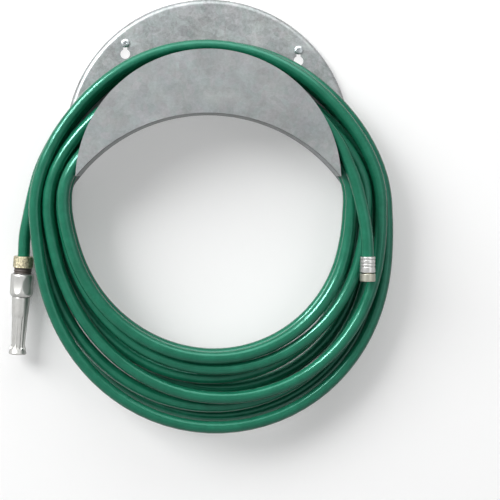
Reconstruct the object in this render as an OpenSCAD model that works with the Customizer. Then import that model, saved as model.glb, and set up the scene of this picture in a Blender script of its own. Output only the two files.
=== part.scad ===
/* [Holder] */
// Radius of the front plate's outer edge
front_r = 185; // [170:1:200]
// Height of the front plate at its middle
crescent_h = 89; // [75:1:100]
// Radius of the arch under the saddle
arch_r = 237; // [230:1:250]
// Radius of the back plate, over its turned rim
back_r = 207.5; // [200:0.5:215]
// How far the back plate's centre lies above the front plate's centre
back_rise = 57.2; // [50:0.2:62]
// Depth of the turned rim, from the wall to the back plate's face
rim_depth = 12; // [10:0.5:16]
// Outer radius of the bend between the rim and the plate
rim_bend_r = 8; // [6:0.5:9]
// Thickness of the sheet steel
sheet = 2; // [1.5:0.1:2.5]
/* [Wall screws] */
// Distance of the screws from the back plate's outer edge
screw_inset = 20.5; // [18:0.5:27]
// Angle of the left screw from the vertical, in degrees
left_screw_angle = 40; // [36:0.2:48]
// Angle of the right screw from the vertical, in degrees
right_screw_angle = 44.6; // [36:0.2:48]
// Diameter of a screw over its thread
screw_d = 5; // [4:0.1:5.5]
// Diameter of a screw's plain neck, in front of the wall
neck_d = 4.2; // [3.6:0.1:4.5]
// Length of a screw under its head
screw_len = 50; // [40:1:60]
// Diameter of a screw's head
head_d = 12.5; // [11:0.1:13]
// Height of a screw's head
head_h = 3.6; // [3:0.1:4.5]
// Width of the cross recess in a screw's head
recess_w = 1.3; // [1:0.1:1.6]
// Depth of the cross recess
recess_depth = 2; // [1.5:0.1:2.5]
// Clearance round the shank in the keyhole's slot
slot_gap = 0.5; // [0.3:0.1:1]
// Clearance round the head in the keyhole's entry
entry_gap = 0.75; // [0.5:0.05:1]
// How far the entry hole lies below the slot's top
entry_drop = 15.5; // [14:0.5:18]
/* [Hose] */
// Outer diameter of the hose
hose_d = 17.5; // [16.5:0.1:18.5]
// Bore of the hose
hose_bore = 12.7; // [12.5:0.1:13]
// Gap between two layers of the coil
layer_gap = 1.1; // [0.9:0.1:1.6]
// Least gap between the turns of one layer
turn_gap = 1.1; // [0.9:0.1:1.6]
// Gap between the coil and the back plate
back_gap = 0.65; // [0.5:0.05:1]
// Gap between the coil and the front plate
front_gap = 2.05; // [1:0.05:3]
// Gap between the saddle and the turns that lie on it
seat_gap = 1.8; // [1.7:0.1:2.2]
// How far the coil's centre hangs below the front plate's centre
coil_drop = 43.3; // [41:0.1:46]
// Spare thickness of the pile of turns at the left
loose_left = 2.5; // [1.5:0.5:3]
// Spare thickness of the pile at the right
loose_right = 6; // [4:0.5:8]
// Spare thickness of the pile over the saddle
loose_top = 43.5; // [40:0.5:46]
// Spare thickness of the pile at the bottom, where the turns sag apart
loose_bottom = 57.5; // [55:0.5:60]
// How far all the turns sag below a round coil at the bottom
bottom_drop = 5.5; // [4:0.5:7]
// How far the sagging turns of neighbouring layers part at the bottom
stagger = 24.5; // [22:0.5:25.5]
// How far the sagging turns swing to the right at their lower right
swing = 10; // [7:0.5:12]
// How far the third layer is tucked in at the left
left_tuck = 6; // [3:0.5:8]
/* [Tap end] */
// Radius of the crimped ferrule
ferrule_r = 10.8; // [10.4:0.1:11.5]
// Length of the crimped ferrule
ferrule_len = 22.2; // [21:0.1:24]
// Length of the swivelling nut
tap_nut_len = 11; // [10:0.1:13]
// Radius of the insert's flange
insert_flange_r = 9.2; // [8.8:0.1:9.4]
/* [Coupling] */
// Tilt of the nozzle from the vertical, in degrees
nozzle_tilt = 3.7; // [2:0.1:5]
// Radius of the knurled clamp nut
clamp_nut_r = 14.5; // [14:0.1:15.5]
// Length of the clamp nut
clamp_nut_len = 16.6; // [16:0.1:18]
// Radius of the coupling body under the collar
body_r = 10.5; // [10.3:0.1:10.6]
// Radius of the socket that takes the nozzle's plug
socket_r = 8.2; // [8:0.1:8.3]
// Radius of the coupling body's shoulder
shoulder_r = 12; // [11.8:0.1:12.2]
// Radius of the rubber guard over its ribs
guard_r = 13; // [12.8:0.05:13.1]
// Length of the rubber guard
guard_len = 8.1; // [7.5:0.1:8.3]
// Radius of the release collar
collar_r = 16.75; // [16.5:0.05:17.5]
// Length of the release collar
collar_len = 32.5; // [32:0.1:34]
// Depth of the scooped facets on the collar
facet_depth = 1.1; // [0.7:0.05:1.2]
// Travel of the release collar
collar_travel = 4; // [3:0.1:4]
// Diameter of a locking ball
ball_d = 4; // [3.8:0.1:4.1]
// Number of locking balls
ball_count = 6; // [4:1:8]
// Wire diameter of the collar's spring
spring_wire = 1.2; // [1:0.1:1.3]
// Turns of the collar's spring
spring_turns = 5; // [4:1:6]
/* [Nozzle] */
// Length of the twist sleeve
sleeve_len = 82.7; // [80:0.1:88]
// Radius of the twist sleeve at its top
sleeve_top_r = 13.15; // [12.8:0.05:13.5]
// Radius of the twist sleeve at its waist
sleeve_waist_r = 9.9; // [9.8:0.05:10.5]
// Radius of the flared mouth
mouth_r = 12.9; // [12:0.1:13.5]
// Radius of the stem that the sleeve turns on
stem_r = 9.1; // [8.9:0.05:9.2]
// Radius of the water bore through the stem
stem_bore_r = 3.5; // [3:0.1:3.6]
// Number of flutes round the sleeve
flute_count = 12; // [8:1:14]
// Depth of a flute
flute_depth = 0.9; // [0.6:0.05:1]
// Radius of the sleeve's throat
throat_r = 4.4; // [4.3:0.05:4.8]
/* [Clearances] */
// Radial clearance of a turning or sliding fit
run_gap = 0.1; // [0.05:0.01:0.1]
// Gap between faces that pass each other
face_gap = 0.3; // [0.2:0.05:0.4]
/* [Hidden] */
$fn = 96;
cut = 20;
// Number of layers in the coil, and turns in one layer
layers = 4;
layer_turns = 2.5;
climb_turns = 0.5;
rings_per_turn = 24;
coil_start = 1 / 12;
coil_end = 9 + 1 / 8;

// Construction of the holder: every height is above the front plate's centre
arch_z = front_r - crescent_h - arch_r;
saddle_r = arch_r + sheet;
tip_z = (arch_z * arch_z - arch_r * arch_r + front_r * front_r) / (2 * arch_z);
tip_x = sqrt(front_r * front_r - tip_z * tip_z);
layer_pitch = hose_d + layer_gap;
trough_w = back_gap + hose_d + (layers - 1) * layer_pitch + front_gap;
back_face_y = -rim_depth;
front_back_y = back_face_y - trough_w;
hose_r = hose_d / 2;
back_layer_y = back_face_y - back_gap - hose_r;
front_layer_y = back_layer_y - (layers - 1) * layer_pitch;

// The screws, and the point half way between them at the wall
screw_ring_r = back_r - screw_inset;
left_screw = [-screw_ring_r * sin(left_screw_angle), back_rise + screw_ring_r * cos(left_screw_angle)];
right_screw = [screw_ring_r * sin(right_screw_angle), back_rise + screw_ring_r * cos(right_screw_angle)];
origin_point = (left_screw + right_screw) / 2;
shank_r = screw_d / 2;
slot_r = shank_r + slot_gap;
entry_r = head_d / 2 + entry_gap;

// The coil: t counts turns from the left, clockwise as seen from the front
coil_z = -coil_drop;
side_pile = layer_turns * (hose_d + turn_gap);
pile_left = side_pile + loose_left;
pile_right = side_pile + loose_right;
pile_top = side_pile + loose_top;
pile_bottom = side_pile + loose_bottom;
// The innermost turn passes the saddle's tips this much closer than it would if round
tip_tuck = 0.95;
tip_lift = 6;
// How gently the innermost turn bends over the saddle's tips, and how much more the outer ones
tip_blend = 14;
outer_blend = 10;
// Extra sag of a layer's middle turns, and how steeply all the sag sets in
middle_sag = 3.5;
sag_power = 1.5;
// How far the outer turns swing further to the right, and bulge over a round pile
outer_swing = 4;
pile_bulge = 3;
pile_shoulder = 6;
side_r = norm([tip_x, tip_z - coil_z]) + hose_r - tip_tuck;
seat_r = saddle_r + hose_r + seat_gap;

function smooth_min(a, b, k) = min(a, b) - pow(max(k - abs(a - b), 0), 2) / (4 * k);
function ease(v) = (1 - cos(180 * min(max(v, 0), 1))) / 2;

// Thickness of the pile round the coil
function pile(a) =
    (pile_right + pile_top + pile_left + pile_bottom) / 4
    + (pile_right - pile_left) / 2 * cos(a)
    + (pile_top - pile_bottom) / 2 * sin(a)
    + (pile_right + pile_left - pile_top - pile_bottom) / 4 * cos(2 * a)
    - pile_bulge * sin(3 * a)
    + (sin(a) > 0 ? pile_shoulder * pow(sin(2 * a), 2) : 0);

// Distance of the innermost turn from the coil's centre
function seat_line(a) =
    -(coil_z - arch_z) * sin(a) + sqrt(seat_r * seat_r - pow((coil_z - arch_z) * cos(a), 2));
function inner_line(a, u) =
    let (side = side_r + tip_lift * ease((sin(a) + 0.3) / 0.6))
    sin(a) < -0.3 ? side : smooth_min(seat_line(a), side, tip_blend + outer_blend * u);

// Which layer a turn is in, and where between the inner (0) and outer (1) turn
function layer_of(t) =
    let (
        cycle = layer_turns + climb_turns,
        k = floor(t / cycle),
        f = t - k * cycle
    )
    k + (f < layer_turns ? 0 : ease((f - layer_turns) / climb_turns));
function spread_of(t) =
    let (
        cycle = layer_turns + climb_turns,
        k = floor(t / cycle),
        f = t - k * cycle,
        out = min(f / layer_turns, 1)
    )
    k % 2 == 0 ? 1 - out : out;

function coil_point(t) =
    let (
        a = 180 - 360 * t,
        u = spread_of(t),
        layer = layer_of(t),
        middle = pow(sin(180 * u), 2),
        sag = bottom_drop + (stagger * (1 - layer) + middle_sag) * middle,
        low = max(0, -sin(a)),
        aside = low * cos(a) * (swing + outer_swing * u),
        leftness = pow(max(0, -cos(a)), 2),
        tuck = abs(layer - 2) < 1 ? pow(cos(90 * (layer - 2)), 2) : 0,
        r = inner_line(a, u) + u * pile(a) + pow(low, sag_power) * sag + aside - leftness * tuck * left_tuck
    )
    [r * cos(a), back_layer_y - layer * layer_pitch, coil_z + r * sin(a)];
function unit(v) = v / norm(v);
function coil_dir(t) = unit(coil_point(t + 0.002) - coil_point(t - 0.002));

// Free ends of the hose: points chosen by hand, after the coil's own end point
nozzle_point = [-266, back_layer_y, -108];
nozzle_dir = [-sin(nozzle_tilt), 0, -cos(nozzle_tilt)];
nozzle_route = concat(
    [coil_point(coil_start)],
    [for (p = [[-227.5, 49], [-242.5, 17], [-252, -17], [-259, -50], [-264.3, -77]])
        [p[0], back_layer_y, p[1]]],
    [nozzle_point, nozzle_point + 12 * nozzle_dir]
);
tap_point = [222.4, -82.6, -104.6];
tap_route = [
    coil_point(coil_end),
    [-87, front_layer_y, 98],
    [-50, front_layer_y, 117],
    [-10, front_layer_y, 131],
    [30, front_layer_y, 138],
    [70, front_layer_y, 136],
    [107, front_layer_y, 124],
    [140, front_layer_y, 104],
    [166, front_layer_y, 78],
    [184, -77.5, 52],
    [196, -78.5, 26],
    [206, -79.7, 0],
    [213, -81, -27],
    [218.5, -82, -54],
    [221.8, -82.6, -80],
    tap_point,
    tap_point - [0, 0, 20]
];

// Directions of a route at its points, with the end directions given
function route_dirs(route, first, last) = [
    for (i = [0 : len(route) - 1])
        i == 0 ? first : i == len(route) - 1 ? last : unit(route[i + 1] - route[i - 1])
];
// A smooth curve through a route, with its middles added
function curve_mid(a, da, b, db) = (a + b) / 2 + norm(b - a) / 8 * (da - db);
function with_middles(route, dirs) = concat(
    [for (i = [0 : len(route) - 2], half = [0, 1])
        half == 0 ? route[i] : curve_mid(route[i], dirs[i], route[i + 1], dirs[i + 1])],
    [route[len(route) - 1]]
);

// A tube of flat sides along a path whose directions are given
module tube(path, dirs, r, sides, turn = 0, ref = [0, 1, 0]) {
    n = len(path);
    points = [
        for (i = [0 : n - 1])
            let (side = unit(cross(dirs[i], ref)), up = cross(side, dirs[i]))
            for (k = [0 : sides - 1])
                let (a = turn + 360 * k / sides)
                path[i] + r * (cos(a) * side + sin(a) * up)
    ];
    walls = [
        for (i = [0 : n - 2], k = [0 : sides - 1], half = [0, 1])
            let (
                a = i * sides + k,
                b = i * sides + (k + 1) % sides,
                c = a + sides,
                d = b + sides
            )
            half == 0 ? [a, c, b] : [b, c, d]
    ];
    first_cap = [for (k = [1 : sides - 2]) [0, k, k + 1]];
    last = (n - 1) * sides;
    last_cap = [for (k = [1 : sides - 2]) [last, last + k + 1, last + k]];
    polyhedron(points = points, faces = concat(walls, first_cap, last_cap));
}

// Distance down the coupling, from the upper face of the clamp nut
nut_floor_z = 12;
shoulder_z = clamp_nut_len + 0.2;
guard_z = shoulder_z + 0.1;
collar_top_z = guard_z + guard_len + 0.5;
body_step_z = collar_top_z - face_gap;
ledge_z = body_step_z + 13;
ball_z = ledge_z + 5.5;
ledge_end_z = ball_z + collar_travel - 1.3;
stop_ring_z = ledge_end_z + face_gap;
stop_ring_h = 1.2;
collar_end_z = collar_top_z + collar_len;
body_end_z = collar_end_z - 0.8;
sleeve_top_z = collar_end_z + 0.5;
mouth_z = sleeve_top_z + sleeve_len;
plug_top_z = body_step_z + 5;
socket_top_z = plug_top_z - 2;
plug_r = socket_r - run_gap;
oring_r = 1.05;
oring_z = plug_top_z + 4.55;
oring_ring_r = socket_r - 0.05 - oring_r;
stem_top_z = body_end_z + face_gap;
stem_end_z = stem_top_z + 38.7;
neck_end_z = stem_end_z + 8;
throat_z = neck_end_z + 14;
sleeve_bore_r = stem_r + run_gap;
sleeve_oring_r = 0.7;
sleeve_oring_z = sleeve_top_z + 6.7;
sleeve_oring_ring_r = stem_r + 0.05 + sleeve_oring_r;
guard_bore_r = shoulder_r + 0.05;
collar_bore_r = guard_r + 0.4;
ledge_r = body_r + face_gap;
relief_r = ledge_r + 1.4;
stop_ring_r = relief_r - face_gap;
ball_ring_r = ledge_r - 0.2 - ball_d / 2;
water_r = 4.2;
spring_r = (body_r + collar_bore_r) / 2;

module hang() translate([-origin_point[0], 0, -origin_point[1]]) children();
module along_y(y0, y1) translate([0, y1, 0]) rotate([90, 0, 0]) linear_extrude(y1 - y0) children();
module at_nozzle() hang() translate(nozzle_point) rotate([0, 180 + nozzle_tilt, 0]) children();
module at_tap() hang() translate(tap_point) rotate([180, 0, 0]) children();
module turned(profile) rotate_extrude() polygon(profile);
module bead(ring_r, r, z) translate([0, 0, z]) rotate_extrude() translate([ring_r, 0]) circle(r, $fn = 24);

// Everything below the arch's underside is open
module arch_cut(y0, y1) {
    translate([0, y1, arch_z])
        rotate([90, 0, 0])
        cylinder(h = y1 - y0, r = arch_r, $fn = 180);
}

module keyhole(screw) {
    translate([screw[0], back_face_y + sheet + cut / 2, screw[1]])
        rotate([90, 0, 0])
        union() {
            cylinder(h = cut + sheet, r = slot_r);
            translate([-slot_r, -entry_drop, 0]) cube([2 * slot_r, entry_drop, cut + sheet]);
            translate([0, -entry_drop, 0]) cylinder(h = cut + sheet, r = entry_r);
        }
}

module back_plate() {
    bend_steps = 8;
    flat_r = back_r - rim_bend_r;
    bend_z = rim_depth - rim_bend_r;
    inner_bend = rim_bend_r - sheet;
    outline = concat(
        [[0, rim_depth]],
        [for (i = [0 : bend_steps])
            let (a = 90 - 90 * i / bend_steps)
            [flat_r + rim_bend_r * cos(a), bend_z + rim_bend_r * sin(a)]],
        [[back_r, 0], [back_r - sheet, 0]],
        [for (i = [0 : bend_steps])
            let (a = 90 * i / bend_steps)
            [flat_r + inner_bend * cos(a), bend_z + inner_bend * sin(a)]],
        [[0, rim_depth - sheet]]
    );
    color("#a9adb0")
    hang()
    difference() {
        translate([0, 0, back_rise])
            rotate([90, 0, 0])
            rotate_extrude($fn = 180)
            polygon(outline);
        arch_cut(-rim_depth - cut, cut);
        keyhole(left_screw);
        keyhole(right_screw);
    }
}

module saddle() {
    color("#8f9498")
    hang()
    difference() {
        intersection() {
            translate([0, back_face_y, arch_z])
                rotate([90, 0, 0])
                cylinder(h = trough_w, r = saddle_r, $fn = 180);
            translate([-tip_x, front_back_y - cut, arch_z])
                cube([2 * tip_x, trough_w + 2 * cut, 2 * saddle_r]);
        }
        arch_cut(front_back_y - cut, back_face_y + cut);
    }
}

module front_plate() {
    color("#a9adb0")
    hang()
    difference() {
        translate([0, front_back_y, 0])
            rotate([90, 0, 0])
            cylinder(h = sheet, r = front_r, $fn = 180);
        arch_cut(front_back_y - sheet - cut, front_back_y + cut);
    }
}

module screw() {
    dome_r = head_d;
    dome_drop = dome_r - sqrt(dome_r * dome_r - head_d * head_d / 4);
    difference() {
        union() {
            intersection() {
                cylinder(h = head_h, d = head_d);
                translate([0, 0, head_h - dome_r]) sphere(dome_r);
            }
            translate([0, 0, -rim_depth - 1]) cylinder(h = rim_depth + 1 + head_h / 2, d = neck_d);
            translate([0, 0, -screw_len + shank_r]) cylinder(h = screw_len - shank_r - rim_depth, r = shank_r);
            translate([0, 0, -screw_len]) cylinder(h = shank_r, r1 = 0.4, r2 = shank_r);
        }
        for (a = [0, 90]) rotate(a)
            translate([-head_d / 4, -recess_w / 2, head_h - recess_depth])
            cube([head_d / 2, recess_w, recess_depth + dome_drop]);
    }
}

module wall_screws() {
    color("#c9cdd0")
    hang()
    for (s = [left_screw, right_screw])
        translate([s[0], back_face_y, s[1]]) rotate([90, 20, 0]) screw();
}

module hose_coil() {
    count = round((coil_end - coil_start) * rings_per_turn);
    stops = [for (i = [0 : count]) coil_start + (coil_end - coil_start) * i / count];
    color("#1b6b48")
    hang()
    tube(
        [for (t = stops) coil_point(t)],
        [for (t = stops) coil_dir(t)],
        hose_r, 6, 30
    );
}

module hose_nozzle_tail() {
    dirs = route_dirs(nozzle_route, -coil_dir(coil_start), nozzle_dir);
    fine = with_middles(nozzle_route, dirs);
    color("#1b6b48")
    difference() {
        hang() tube(fine, route_dirs(fine, dirs[0], nozzle_dir), hose_r, 12);
        at_nozzle() translate([0, 0, -11]) cylinder(h = 11 + cut, d = hose_bore);
    }
}

module hose_tap_tail() {
    dirs = route_dirs(tap_route, coil_dir(coil_end), [0, 0, -1]);
    fine = with_middles(tap_route, dirs);
    color("#1f7a52")
    difference() {
        hang() tube(fine, route_dirs(fine, dirs[0], [0, 0, -1]), hose_r, 12);
        at_tap() translate([0, 0, -15]) cylinder(h = 15 + 2 * cut, d = hose_bore);
    }
}

// Barbs that grip the inside of the hose, from z0 to z1
function barbs(z0, z1, r) =
    let (count = 4, step = (z1 - z0) / count)
    [for (i = [0 : count - 1], half = [0, 1])
        half == 0 ? [r - 0.6, z0 + i * step] : [r, z0 + (i + 0.9) * step]];

hose_seat_z = 20;
insert_r = hose_bore / 2 - 0.1;
neck_r = 6;

module tap_ferrule() {
    hose_hole = hose_r + 0.15;
    groove = 0.9;
    rings = [[0, 3.6], [4.1, 9.1], [9.9, 13.1], [14.2, ferrule_len]];
    color("#c8cbcc")
    at_tap()
    difference() {
        union() {
            cylinder(h = ferrule_len, r = ferrule_r - groove);
            for (ring = rings)
                turned([
                    [hose_hole - 1, ring[0]],
                    [ferrule_r - 0.5, ring[0]],
                    [ferrule_r, ring[0] + 0.5],
                    [ferrule_r, ring[1] - 0.5],
                    [ferrule_r - 0.5, ring[1]],
                    [hose_hole - 1, ring[1]]
                ]);
        }
        translate([0, 0, -cut]) cylinder(h = hose_seat_z + 0.2 + cut, r = hose_hole);
        cylinder(h = ferrule_len + cut, r = neck_r + 0.05);
    }
}

insert_flange_z = ferrule_len + 4;
insert_flange_h = 2.5;
tap_nut_z = ferrule_len + 1.4;
tap_nut_web = insert_flange_z - face_gap - tap_nut_z;

module tap_insert() {
    color("#d2b66a")
    at_tap()
    turned(concat(
        [[water_r, -12]],
        barbs(-12, hose_seat_z - 1, insert_r),
        [
            [neck_r, hose_seat_z - 1],
            [neck_r, insert_flange_z],
            [insert_flange_r, insert_flange_z],
            [insert_flange_r, insert_flange_z + insert_flange_h],
            [water_r, insert_flange_z + insert_flange_h]
        ]
    ));
}

module tap_nut() {
    thread_r = insert_flange_r + face_gap;
    nut_r = ferrule_r + 0.1;
    color("#b9b291")
    at_tap()
    turned([
        [neck_r + 0.3, tap_nut_z],
        [nut_r - 0.6, tap_nut_z],
        [nut_r, tap_nut_z + 0.6],
        [nut_r, tap_nut_z + tap_nut_len - 0.6],
        [nut_r - 0.6, tap_nut_z + tap_nut_len],
        [thread_r, tap_nut_z + tap_nut_len],
        [thread_r, tap_nut_z + tap_nut_web],
        [neck_r + 0.3, tap_nut_z + tap_nut_web]
    ]);
}

module tap_washer() {
    washer_z = insert_flange_z + insert_flange_h + face_gap;
    color("#2a2a2a")
    at_tap()
    turned([
        [water_r + 0.6, washer_z],
        [insert_flange_r + 0.2, washer_z],
        [insert_flange_r + 0.2, washer_z + 2.2],
        [water_r + 0.6, washer_z + 2.2]
    ]);
}

module clamp_nut() {
    hose_hole = hose_r + 0.15;
    color("#b49b63")
    at_nozzle()
    turned([
        [hose_hole, 0],
        [clamp_nut_r - 0.8, 0],
        [clamp_nut_r, 0.8],
        [clamp_nut_r, clamp_nut_len - 0.8],
        [clamp_nut_r - 0.8, clamp_nut_len],
        [shoulder_r - 0.8, clamp_nut_len],
        [shoulder_r - 0.8, nut_floor_z + 0.3],
        [hose_hole, nut_floor_z + 0.3]
    ]);
}

module coupling_body() {
    color("#c3c6c7")
    at_nozzle()
    difference() {
        turned(concat(
            [[water_r, -10]],
            barbs(-10, nut_floor_z + 0.4, insert_r),
            [
                [shoulder_r - 1, nut_floor_z + 0.4],
                [shoulder_r - 1, shoulder_z],
                [shoulder_r, shoulder_z],
                [shoulder_r, body_step_z],
                [body_r, body_step_z],
                [body_r, stop_ring_z - 0.1],
                [body_r - 0.9, stop_ring_z - 0.1],
                [body_r - 0.9, stop_ring_z + stop_ring_h + 0.1],
                [body_r, stop_ring_z + stop_ring_h + 0.1],
                [body_r, body_end_z - 0.6],
                [body_r - 0.6, body_end_z],
                [socket_r, body_end_z],
                [socket_r, socket_top_z],
                [water_r, socket_top_z - 4]
            ]
        ));
        for (i = [0 : ball_count - 1])
            rotate(360 * i / ball_count)
            translate([socket_r - 2, 0, ball_z])
            rotate([0, 90, 0])
            cylinder(h = body_r, d = ball_d + 0.3);
    }
}

module guard_ring() {
    rib = guard_len / 2;
    color("#4a3d38")
    at_nozzle()
    turned([
        [guard_bore_r, guard_z],
        [guard_r - 0.5, guard_z],
        [guard_r, guard_z + 0.6],
        [guard_r, guard_z + rib - 0.9],
        [guard_r - 0.7, guard_z + rib - 0.3],
        [guard_r - 0.7, guard_z + rib + 0.3],
        [guard_r, guard_z + rib + 0.9],
        [guard_r, guard_z + guard_len - 0.6],
        [guard_r - 0.5, guard_z + guard_len],
        [guard_bore_r, guard_z + guard_len]
    ]);
}

module lock_balls() {
    color("#dfe2e4")
    at_nozzle()
    for (i = [0 : ball_count - 1])
        rotate(360 * i / ball_count) translate([ball_ring_r, 0, ball_z]) sphere(d = ball_d, $fn = 32);
}

module stop_ring() {
    color("#8e9294")
    at_nozzle()
    turned([
        [body_r - 0.8, stop_ring_z],
        [stop_ring_r, stop_ring_z],
        [stop_ring_r, stop_ring_z + stop_ring_h],
        [body_r - 0.8, stop_ring_z + stop_ring_h]
    ]);
}

module collar_spring() {
    rings = 12 * spring_turns;
    low = body_step_z + 0.1 + spring_wire / 2;
    high = ledge_z - 0.1 - spring_wire / 2;
    // The end turns lie flat, and the turns between them rise evenly
    function rise(v) = min(max((v * spring_turns - 0.75) / (spring_turns - 1.5), 0), 1);
    path = [
        for (i = [0 : rings])
            let (v = i / rings, a = 360 * spring_turns * v)
            [spring_r * cos(a), spring_r * sin(a), low + (high - low) * rise(v)]
    ];
    first = [0, 1, 0];
    dirs = route_dirs(path, first, first);
    color("#b8bcc0")
    at_nozzle()
    tube(path, dirs, spring_wire / 2, 6, 0, [0, 0, 1]);
}

module release_collar() {
    scoop_r = 72;
    facets = 8;
    color("#d5d8da")
    at_nozzle()
    difference() {
        turned([
            [collar_bore_r, collar_top_z],
            [collar_r - 1.6, collar_top_z],
            [collar_r - 0.4, collar_top_z + 0.8],
            [collar_r, collar_top_z + 2.2],
            [collar_r, collar_end_z - 4.5],
            [collar_r - 0.5, collar_end_z - 3],
            [collar_r - 2.6, collar_end_z],
            [relief_r, collar_end_z],
            [relief_r, ledge_end_z],
            [ledge_r, ledge_end_z],
            [ledge_r, ledge_z],
            [collar_bore_r, ledge_z]
        ]);
        for (i = [0 : facets - 1])
            rotate(360 * (i + 0.3) / facets)
            translate([collar_r - facet_depth + scoop_r, 0, (collar_top_z + collar_end_z) / 2 - 0.5])
            rotate([90, 0, 0])
            cylinder(h = collar_r, r = scoop_r, center = true, $fn = 180);
    }
}

module nozzle_body() {
    hole_r = 1.5;
    color("#c3c6c7")
    at_nozzle()
    difference() {
        turned([
            [stem_bore_r, plug_top_z],
            [plug_r - 0.8, plug_top_z],
            [plug_r, plug_top_z + 0.8],
            [plug_r, oring_z - oring_r - 0.1],
            [oring_ring_r - oring_r - 0.05, oring_z - oring_r - 0.1],
            [oring_ring_r - oring_r - 0.05, oring_z + oring_r + 0.1],
            [plug_r, oring_z + oring_r + 0.1],
            [plug_r, stem_top_z],
            [stem_r, stem_top_z],
            [stem_r, stem_end_z],
            [neck_r - 0.4, stem_end_z],
            [neck_r - 0.4, neck_end_z],
            [stem_bore_r, neck_end_z]
        ]);
        bead(ball_ring_r, ball_d / 2 + face_gap, ball_z);
        for (a = [0, 90])
            rotate(a)
            translate([0, 0, stem_end_z + 4])
            rotate([0, 90, 0])
            cylinder(h = 4 * neck_r, r = hole_r, center = true);
    }
}

module plug_oring() {
    color("#222222")
    at_nozzle() bead(oring_ring_r, oring_r, oring_z);
}

module spray_pin() {
    cone_z = throat_z - 5;
    cone_r = throat_r + 0.5;
    color("#cfae5e")
    at_nozzle()
    turned([
        [0, neck_end_z - 2],
        [stem_bore_r - 0.05, neck_end_z - 2],
        [stem_bore_r - 0.05, neck_end_z],
        [neck_r - 0.4, neck_end_z],
        [neck_r - 0.4, neck_end_z + 1.5],
        [stem_bore_r - 0.5, neck_end_z + 1.5],
        [stem_bore_r - 0.5, cone_z - 1],
        [cone_r, cone_z],
        [cone_r, cone_z + 2.5],
        [1.2, cone_z + 13],
        [0, cone_z + 13.6]
    ]);
}

module sleeve_oring() {
    color("#222222")
    at_nozzle() bead(sleeve_oring_ring_r, sleeve_oring_r, sleeve_oring_z);
}

module twist_sleeve() {
    groove_floor = sleeve_oring_ring_r + sleeve_oring_r + 0.1;
    groove_half = sleeve_oring_r + 0.1;
    grip_z = sleeve_top_z + 29;
    waist_z = mouth_z - 17;
    grip_r = sleeve_waist_r + 1.45;
    flute_r = 2;
    flute_len = mouth_z - grip_z - 10;
    flute_lean = atan((grip_r + 0.35 - sleeve_waist_r) / (waist_z - grip_z));
    color("#c6c8c6")
    at_nozzle()
    difference() {
        turned([
            [sleeve_bore_r, sleeve_top_z],
            [sleeve_top_r - 0.6, sleeve_top_z],
            [sleeve_top_r, sleeve_top_z + 0.9],
            [sleeve_top_r - 1, sleeve_top_z + 23.7],
            [grip_r, grip_z + 0.7],
            [sleeve_waist_r, waist_z],
            [sleeve_waist_r - 0.1, waist_z + 2],
            [sleeve_waist_r + 0.3, waist_z + 5],
            [mouth_r - 1.6, waist_z + 10],
            [mouth_r - 0.4, waist_z + 14],
            [mouth_r, mouth_z - 1.4],
            [mouth_r - 0.5, mouth_z],
            [mouth_r - 2, mouth_z],
            [throat_r, throat_z + 6],
            [throat_r, throat_z],
            [neck_r + 0.5, throat_z - 1.2],
            [neck_r + 0.5, stem_end_z + 4],
            [sleeve_bore_r, stem_end_z + 1],
            [sleeve_bore_r, sleeve_oring_z + groove_half],
            [groove_floor, sleeve_oring_z + groove_half],
            [groove_floor, sleeve_oring_z - groove_half],
            [sleeve_bore_r, sleeve_oring_z - groove_half]
        ]);
        for (i = [0 : flute_count - 1])
            rotate(360 * i / flute_count)
            translate([grip_r + 0.35 - flute_depth + flute_r, 0, grip_z])
            rotate([0, -flute_lean, 0])
            union() {
                sphere(flute_r, $fn = 32);
                cylinder(h = flute_len, r = flute_r, $fn = 32);
                translate([0, 0, flute_len]) sphere(flute_r, $fn = 32);
            }
    }
}

// Least gap of the coiled hose to itself, from points on its middle line to pieces of it
gap_steps = 144;
gap_count = floor(gap_steps * (coil_end - coil_start));
gap_points = [for (i = [0 : gap_count]) coil_point(coil_start + i / gap_steps)];
function gap_to_piece(p, i) =
    let (
        a = gap_points[i],
        b = gap_points[i + 1],
        along = min(max((p - a) * unit(b - a), 0), norm(b - a))
    )
    norm(p - a - along * unit(b - a));
function gap_at(i) = min([
    for (turn = [1 : ceil(coil_end)], j = [-5 : 5])
        let (other = i + turn * gap_steps + j)
        other < gap_count ? gap_to_piece(gap_points[i], other) : 1000
]);
echo(least_gap_of_the_coil = min([for (i = [0 : 3 : gap_count]) gap_at(i)]) - hose_d);

back_plate();
saddle();
front_plate();
wall_screws();
hose_coil();
hose_nozzle_tail();
hose_tap_tail();
tap_ferrule();
tap_insert();
tap_nut();
tap_washer();
clamp_nut();
coupling_body();
guard_ring();
lock_balls();
stop_ring();
collar_spring();
release_collar();
nozzle_body();
plug_oring();
spray_pin();
sleeve_oring();
twist_sleeve();
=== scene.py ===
import math

import bmesh
import bpy
from mathutils import Matrix, Vector

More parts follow.
